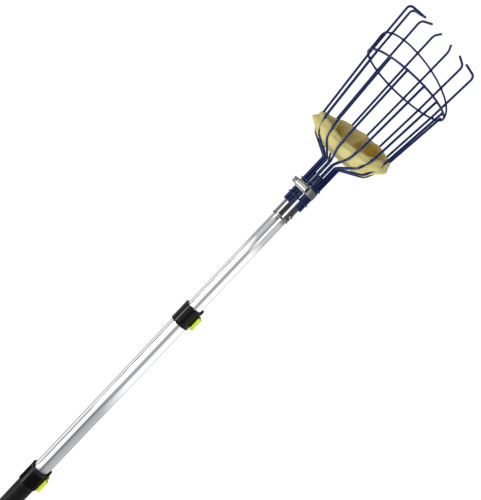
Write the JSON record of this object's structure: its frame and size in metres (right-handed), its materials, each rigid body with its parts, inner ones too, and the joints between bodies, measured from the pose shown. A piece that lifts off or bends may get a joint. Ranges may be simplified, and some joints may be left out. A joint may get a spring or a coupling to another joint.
{
  "type": "fruit picker basket",
  "caption": "Telescopic fruit picker: a wire basket with inward-bent fingers and a foam cup, clamped on an adapter sleeve at the end of nested pole tubes with flip locks.",
  "frame": {"origin": "centre of the lowest tube's lower end, where the pole is held", "axes": "+Z along the pole towards the basket, +X towards the side with the tall bent fingers"},
  "size_m": [0.1381, 0.1356, 1.403],
  "materials": {
    "wire_blue": "glossy navy vinyl coat on steel wire",
    "tube_black": "satin black coat on aluminium tube",
    "tube_silver": "bright anodised",
    "bush_plastic": "plain moulded",
    "cap_black": "matt",
    "sleeve_chrome": "dark bright plating",
    "steel_bright": "zinc plated",
    "screw_steel": "dark zinc plated",
    "lock_black": "glossy moulded",
    "lever_green": "bright yellow-green moulded",
    "foam_yellow": "open-cell foam, pale yellow"
  },
  "bodies": {
    "pole_base": {"lower_tube": "tube_black", "end_cap": "cap_black", "lower_lock_body": "lock_black", "lower_lock_pin": "steel_bright"},
    "lower_lever": {"lower_lock_lever": "lever_green"},
    "middle_stage": {"middle_tube": "tube_silver", "middle_tube_bush": "bush_plastic", "upper_lock_body": "lock_black", "upper_lock_pin": "steel_bright"},
    "upper_lever": {"upper_lock_lever": "lever_green"},
    "head": {"top_tube": "tube_silver", "top_tube_bush": "bush_plastic", "adapter_sleeve": "sleeve_chrome", "finger_wire_1": "wire_blue", "finger_wire_2": "wire_blue", "finger_wire_3": "wire_blue", "finger_wire_4": "wire_blue", "finger_wire_5": "wire_blue", "finger_wire_6": "wire_blue", "finger_wire_7": "wire_blue", "short_wire_1": "wire_blue", "short_wire_2": "wire_blue", "short_wire_3": "wire_blue", "short_wire_4": "wire_blue", "short_wire_5": "wire_blue", "short_wire_6": "wire_blue", "short_wire_7": "wire_blue", "rim_ring": "wire_blue", "collar_ring_lower": "wire_blue", "collar_ring_upper": "wire_blue", "finger_hoop": "wire_blue", "clamp_band": "steel_bright", "clamp_housing": "steel_bright", "foam_cup": "foam_yellow"},
    "button": {"snap_button": "steel_bright"},
    "screw": {"clamp_screw": "screw_steel"}
  },
  "joints": [
    {"name": "middle_slide", "type": "slide", "parent": "pole_base", "child": "middle_stage", "axis": [0, 0, 1], "range_m": [-0.27, 0.15]},
    {"name": "top_slide", "type": "slide", "parent": "middle_stage", "child": "head", "axis": [0, 0, 1], "range_m": [-0.16, 0.22]},
    {"name": "lower_lock_flip", "type": "hinge", "parent": "pole_base", "child": "lower_lever", "pos_m": [0.01808, 0.00209, 0.56], "axis": [0, 0, 1], "range_deg": [0, 110]},
    {"name": "upper_lock_flip", "type": "hinge", "parent": "middle_stage", "child": "upper_lever", "pos_m": [0.01699, 0.00197, 0.881], "axis": [0, 0, 1], "range_deg": [0, 110]},
    {"name": "button_press", "type": "slide", "parent": "head", "child": "button", "axis": [0.7314, 0.682, 0], "range_m": [0, 0.0028], "stiffness_N_per_m": 2500, "springref_m": -0.002},
    {"name": "screw_turn", "type": "hinge", "parent": "head", "child": "screw", "pos_m": [-0.01673, 0.01261, 1.1195], "axis": [-0.6018, -0.7986, 0], "continuous": true}
  ]
}
